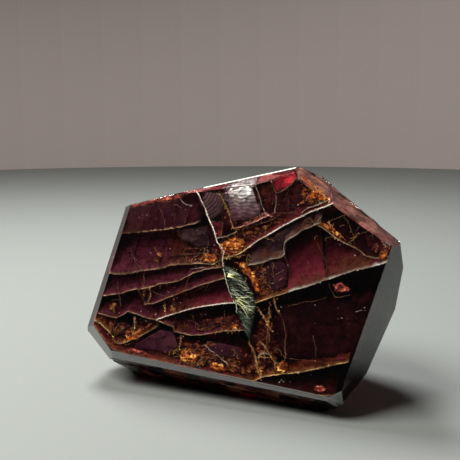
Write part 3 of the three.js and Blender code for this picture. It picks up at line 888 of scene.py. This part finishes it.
def ripples(name, finish, edge, shift, count, height, seed):
    """A rippled sheet: its wavy top edge is extruded down the stone in steps that go in and out."""
    dice = random.Random(seed)
    piece = lines(name, [edge], 0)
    bpy.ops.mesh.subdivide(number_cuts=4)
    bpy.ops.mesh.select_all(action="SELECT")
    across, up, back = shift
    step = MM / count * (Vector((across, 0, 0)) + up * up_window - back * outward)
    for turn in range(count):
        side = height if turn % 2 else -height
        bpy.ops.mesh.extrude_region_move(
            TRANSFORM_OT_translate={"value": step + side * dice.uniform(0.4, 1.3) * MM * outward})
        bpy.ops.transform.vertex_random(offset=0.1 * MM, seed=seed + turn)
    for turn in range(3):
        bpy.ops.mesh.select_all(action="DESELECT")
        bpy.ops.mesh.select_non_manifold()
        bpy.ops.mesh.select_random(ratio=0.55, seed=seed + turn, action="DESELECT")
        bpy.ops.mesh.delete(type="VERT")
    close_sheet(piece, 0.05, finish)


ripples("silver_fracture", silver_skin_painted_glare, [(-4.8, 52.4, 0.06), (-3.6, 53.4, 0.05), (-2, 53.5, 0.02),
    (0, 54, 0.0), (2, 54.6, 0.0), (3.8, 54.6, 0.02)], (4.5, -10.4, 0.7), 25, 0.07, 5)
veil("silver_crest", silver_skin_painted_glare, [(-3.5, 51.5, 0.06), (4.4, 52.7, 0.06), (4.8, 55.4, 3.2),
    (-3, 53.2, 2.1)], 0.1, 1, cuts=8)
# A thin sheet just in front of the window that carries the painted glare.
veil("silver_glare", silver_skin_painted_glare, [(-3.4, 50.6, -0.01), (-2.4, 51.6, -0.01), (3.9, 52.6, -0.01),
    (4, 50.4, -0.01), (2.2, 48.4, -0.01), (0.4, 49.6, -0.01), (-1, 48.8, -0.01)], 0.02, 1, 0.012, cuts=9,
    worn=0.35)
ripples("rose_ripples", comb_skin, [(-15.2, 48.6, 0.3), (-15.4, 49.4, 0.3), (-15.2, 50.4, 0.4)],
    (9.5, 2.2, 0.3), 20, 0.1, 6)


def shell(name, finish, middle, inner, outer, ribs, start, sweep, depth, height):
    """A shell-shaped break: a zigzag rib profile spun round a point on the window."""
    profile = []
    for rib in range(ribs + 1):
        side = height if rib % 2 else -height
        profile.append((middle[0] + inner + (outer - inner) * rib / ribs, middle[1], depth + side))
    piece = lines(name, [profile], 0)
    centre = in_stone(*middle)
    bpy.ops.transform.rotate(value=math.radians(start), orient_axis="Y", center_override=centre)
    bpy.ops.mesh.spin(steps=24, angle=math.radians(sweep), center=centre, axis=outward)
    bpy.ops.mesh.select_all(action="SELECT")
    bpy.ops.transform.vertex_random(offset=0.05 * MM, seed=3)
    close_sheet(piece, 0.05, finish)


shell("shell_break", shell_skin, (-9.6, 50.4), 1.6, 7.4, 16, 0, 62, 0.7, 0.12)


# The spindle: a lens of dark green hornblende that grew in the garnet before it cracked. Its needles
# lie side by side on a slant, black-green at the foot. The pale and bright yellow-green needles are
# painted highlights, where the light gets in.

dark_needles = plain_finish("dark_hornblende", (0.03, 0.045, 0.03), 0.35)
dark_needles.node_tree.nodes["Principled BSDF"].inputs["Specular IOR Level"].default_value = 0.1
green_needles = plain_finish("green_hornblende", (0.15, 0.18, 0.13), 0.25)
# Pale and bright yellow-green finishes: painted highlights on the hornblende needles.
painted_sheen_needles = plain_finish("hornblende_painted_sheen", (0.58, 0.64, 0.44), 0.3)
painted_glint_needles = plain_finish("hornblende_painted_glint", (0.85, 0.85, 0.40), 0.3)
SPINDLE_LEFT = [(33.2, -1.9), (30.6, -0.9), (28.8, -0.2), (27.1, 0.4), (25.6, 1.4), (24.5, 2.4),
    (22.2, 3), (20.6, 4), (19, 4.5), (17.6, 5.5), (16.3, 6.3)]
SPINDLE_RIGHT = [(33.2, 0), (32.1, 1.6), (31, 3.4), (29.5, 4.4), (28.2, 5.5), (27, 6.6), (25.5, 7.3),
    (23.9, 7.5), (22.1, 7.2), (20.4, 7), (18.8, 6.9), (16.3, 6.7)]
veil("spindle_bed", dark_needles, [(across, up) for up, across in SPINDLE_LEFT + SPINDLE_RIGHT[::-1]], 0.5,
     1.5, cuts=3, depth=0.7)


def edge_at(side, height):
    """How far across the spindle's edge lies at this height up the window."""
    for (high, start), (low, stop) in zip(side, side[1:]):
        if low <= height <= high:
            return start + (stop - start) * (high - height) / (high - low)
    return side[-1][1]


NEEDLE_STEP = 0.75
SPINDLE_FOOT = 16.5


def needles(name, finish, count, low, high, slant, width, depth, seed, parts=6, left_share=0.55):
    """A bundle of bent needles, each a strip across the spindle that falls to the right."""
    dice = random.Random(seed)
    paths = []
    for turn in range(count):
        height = dice.uniform(low, high)
        left = edge_at(SPINDLE_LEFT, height)
        across = dice.uniform(left, left + left_share * (edge_at(SPINDLE_RIGHT, height) - left))
        behind = dice.uniform(*depth)
        drop = slant * dice.uniform(-0.5, 1.9)
        path = [(across, height, behind)]
        for part in range(parts):
            across += NEEDLE_STEP
            height -= NEEDLE_STEP * drop * (0.45 + 0.25 * part)
            if across < edge_at(SPINDLE_RIGHT, height) and height > SPINDLE_FOOT:
                path.append((across, height, behind))
        if len(path) > 2:
            paths.append(path)
    piece = lines(name, paths, 0)
    strip = MM * width * (up_window + 0.3 * outward)
    bpy.ops.mesh.extrude_region_move(TRANSFORM_OT_translate={"value": strip})
    bpy.ops.mesh.select_all(action="SELECT")
    bpy.ops.transform.vertex_random(offset=0.3 * width * MM, seed=seed)
    close_sheet(piece, 0.05, finish)


needles("spindle_dark_needles", dark_needles, 60, 17.5, 32.5, 0.8, 0.30, (0.1, 0.5), 3)
needles("spindle_green_needles", green_needles, 150, 18, 32.8, 0.6, 0.12, (0.0, 0.4), 4, left_share=0.8)
needles("spindle_sheen_needles", painted_sheen_needles, 70, 23, 32.5, 0.5, 0.07, (-0.02, 0.15), 6, parts=3,
    left_share=0.8)
needles("spindle_foot_needles", dark_needles, 60, 16.8, 23, 1.6, 0.25, (-0.02, 0.2), 9, left_share=0.8)
needles("spindle_foot_glints", green_needles, 40, 17.2, 23.5, 1.4, 0.07, (-0.02, 0.1), 10, parts=3,
    left_share=0.8)
needles("spindle_glint_needles", painted_glint_needles, 5, 24.5, 25.8, 0.7, 0.14, (-0.02, 0.05), 5, parts=4,
    left_share=0.25)
needles("spindle_glint_head", painted_glint_needles, 4, 30.4, 31.2, 0.25, 0.34, (-0.02, 0.02), 12, parts=2,
    left_share=0.3)
# The spindle's rim in the pale finish: a painted highlight along its left edge.
fractures("spindle_rim", painted_sheen_needles, 0, 0.4, [
    [(-1.8, 33), (-1.2, 31.4), (-0.7, 30.2), (-0.2, 28.8), (0.4, 27.2), (1.3, 25.7)],
    [(1.7, 25.3), (2.4, 24.4), (3, 22.3)]], seed=36, thickness=0.16, ragged=0.2, top=0.0)


# The crumbs: specks of air and grit just under the window, and clusters of crushed, iron-stained
# garnet along the cracks. Each is a tiny flattened lump. The white specks and the white grit along
# the crack lips are partly painted highlights: they stand in for sparkle too.

white_grit_and_sparkle = plain_finish("white_grit_and_sparkle", (0.85, 0.80, 0.76), 0.4)
gold_crush = plain_finish("gold_crush", (0.95, 0.55, 0.16), 0.3)
orange_crush = plain_finish("orange_crush", (0.80, 0.22, 0.05), 0.35)


def cluster(dice, across, up, half_width, half_height, count):
    return [(across + dice.gauss(0, 0.5) * half_width, up + dice.gauss(0, 0.5) * half_height)
            for turn in range(count)]


def along(dice, trace, spacing, stray):
    """Spots strewn along a line on the window."""
    spots = []
    for (x, y), (next_x, next_y) in zip(trace, trace[1:]):
        for turn in range(round(math.hypot(next_x - x, next_y - y) / spacing)):
            share = dice.random()
            spots.append((x + share * (next_x - x) + dice.gauss(0, stray),
                          y + share * (next_y - y) + dice.gauss(0, stray)))
    return spots


def crumbs(name, finish, spots, size, depth, seed):
    """Tiny flattened lumps, one at each spot."""
    dice = random.Random(seed)
    piece = lines(name, [[(0, 26)]], 0.3)
    for x, y in spots:
        bpy.ops.mesh.select_all(action="DESELECT")
        bpy.ops.mesh.primitive_ico_sphere_add(
            subdivisions=1, radius=MM * size * dice.choice((0.5, 0.7, 1.0, 1.5)),
            scale=(1, 0.4, dice.uniform(0.5, 1)), location=in_stone(x, y, dice.uniform(*depth)),
            rotation=(dice.uniform(-0.4, 0.4), dice.uniform(0, 3.1), dice.uniform(-0.4, 0.4)))
    bpy.ops.mesh.select_all(action="SELECT")
    bpy.ops.transform.vertex_random(offset=0.2 * size * MM, seed=seed)
    trim_to_stone(0.06 * MM)
    place_inside(piece, finish)


dice = random.Random(7)
specks = [spot for patch in [(-24, 43.5, 3, 2, 8), (-18, 38, 8, 6, 7), (-12, 27, 10, 4, 6),
    (-20, 20, 8, 5, 7), (-5, 20, 6, 4, 4), (20, 24, 9, 6, 7), (26, 22, 6, 6, 6), (12, 38, 5, 4, 4),
    (28, 38, 5, 4, 7), (30, 43, 3, 2, 3), (0, 48, 4, 3, 3), (15, 8, 2, 1, 8), (24, 10, 4, 3, 4),
    (-26, 34, 4, 4, 8), (-12, 45, 5, 3, 8), (-16, 24, 8, 5, 10), (-6, 38, 3, 3, 8), (8, 32, 4, 4, 9),
    (20, 46, 6, 3, 9), (-20, 12, 8, 2, 5), (0, 12, 6, 3, 5), (13, 49, 5, 2, 4),
    (32.7, 26.3, 0.5, 0.5, 3)] for spot in cluster(dice, *patch)]
crumbs("specks", white_grit_and_sparkle, specks, 0.12, (0.02, 0.2), 7)
# White grit along the crack lips: partly painted sparkle highlights.
lip_grit_and_sparkle = along(dice, TOP, 0.35, 0.14)
for trace in (LONG_LEFT, LONG_MIDDLE, LONG_RIGHT, UPPER):
    lip_grit_and_sparkle += along(dice, trace, 0.6, 0.08)
crumbs("lip_grit_and_sparkle", white_grit_and_sparkle, lip_grit_and_sparkle, 0.13, (-0.03, 0.1), 10)
gold = [spot for patch in [(-1.5, 36, 1.2, 1.2, 12), (1.5, 36, 2, 0.8, 12), (0, 38.5, 2.5, 2, 12),
    (-4, 33.6, 2.5, 0.9, 12), (2.5, 33, 2, 2, 8), (6, 30.5, 2, 2, 8), (-9, 33.2, 3, 1, 8),
    (10, 32, 3, 3, 8), (-24, 14, 3, 1.5, 8), (20, 51, 2, 1.5, 10), (22.5, 48.5, 1.6, 1.2, 8),
    (15, 10.5, 1.8, 0.9, 12), (-27.5, 12, 1.5, 0.4, 6), (10.5, 20.8, 0.3, 0.6, 4),
    (8.8, 10.5, 0.6, 1.6, 8), (-8.3, 10, 1, 0.8, 6), (-22, 18.8, 3, 1.5, 4), (11.9, 25.6, 0.3, 0.6, 3),
    (-12, 34, 3, 2, 5), (35.5, 36.7, 0.8, 0.4, 4), (3, 41, 2.5, 1, 5)] for spot in cluster(dice, *patch)]
for trace in GOLD:
    gold += along(dice, trace, 0.22, 0.2)
for trace in (LOW_RIGHT, HUB):
    gold += along(dice, trace, 0.45, 0.15)
crumbs("gold_crumbs", gold_crush, gold, 0.14, (0.0, 0.3), 8)
rust = [spot for patch in [(-0.5, 37, 3, 2.5, 30), (-9, 33.8, 4, 1.8, 16), (20.5, 50, 3, 2, 18),
    (15, 10.8, 2.2, 1.2, 18), (-24, 13.6, 3, 1.2, 12), (-22, 10.2, 3, 0.7, 12), (-8, 9.6, 3, 1, 24),
    (9, 31, 3.5, 3.5, 40), (6, 40.5, 4, 2, 20), (24, 7.5, 1.5, 0.9, 10), (35, 38.5, 1.4, 1.6, 12),
    (1.5, 19, 2, 1, 10), (0, 11, 7, 3, 45), (-14, 21.5, 1.5, 1, 5),
    (8, 8, 3, 0.6, 12)] for spot in cluster(dice, *patch)]
for trace in GOLD:
    rust += along(dice, trace, 0.5, 0.5)
crumbs("orange_crumbs", orange_crush, rust, 0.17, (0.1, 0.9), 9)
